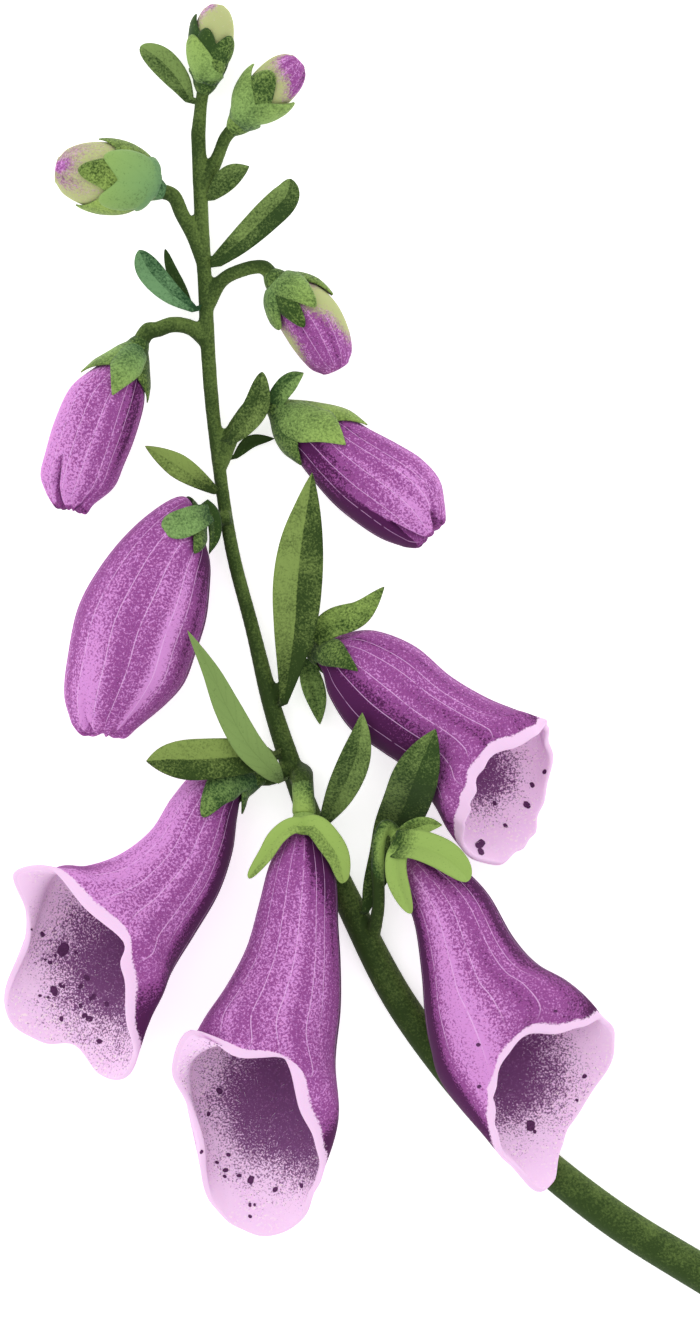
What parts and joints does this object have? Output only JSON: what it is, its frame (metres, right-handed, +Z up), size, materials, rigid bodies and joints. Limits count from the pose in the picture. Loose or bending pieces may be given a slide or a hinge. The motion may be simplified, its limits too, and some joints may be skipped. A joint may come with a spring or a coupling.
{
  "type": "foxglove flower spike",
  "caption": "Cut foxglove spike lying on a surface, with a bent stem, leafy bracts, green calyces, tight buds towards the tip and spotted open bells below.",
  "frame": {"origin": "the middle of the whole spike's box in X and Y, on the surface it lies on", "axes": "+Y along the spike towards its tip bud, +X towards the side its cut end bends to, +Z up from the surface"},
  "size_m": [0.1118, 0.1788, 0.0178],
  "materials": {
    "stem": "fresh green stem",
    "leaf": "soft matt leaf",
    "calyx": "soft matt leaf",
    "bud": "soft matt petal",
    "petal": "soft matt petal",
    "stamen": "soft matt"
  },
  "bodies": {
    "root": {"stem": "stem", "bract_01": "leaf", "bract_02": "leaf", "bract_03": "leaf", "bract_04": "leaf", "bract_05": "leaf", "bract_06": "leaf", "bract_07": "leaf", "bract_08": "leaf", "bract_09": "leaf", "bract_10": "leaf", "bract_11": "leaf", "bract_12": "leaf", "bract_13": "leaf", "calyx_01": "calyx", "corolla_01": "bud", "calyx_02": "calyx", "corolla_02": "bud", "calyx_03": "calyx", "corolla_03": "bud", "calyx_04": "calyx", "corolla_04": "bud", "calyx_05": "calyx", "corolla_05": "petal", "calyx_06": "calyx", "corolla_06": "petal", "calyx_07": "calyx", "corolla_07": "petal", "calyx_08": "calyx", "corolla_08": "petal", "calyx_09": "calyx", "corolla_09": "petal", "calyx_10": "calyx", "corolla_10": "petal", "calyx_11": "calyx", "corolla_11": "petal", "stamens_08": "stamen", "stamens_09": "stamen", "stamens_10": "stamen", "stamens_11": "stamen"}
  },
  "joints": []
}
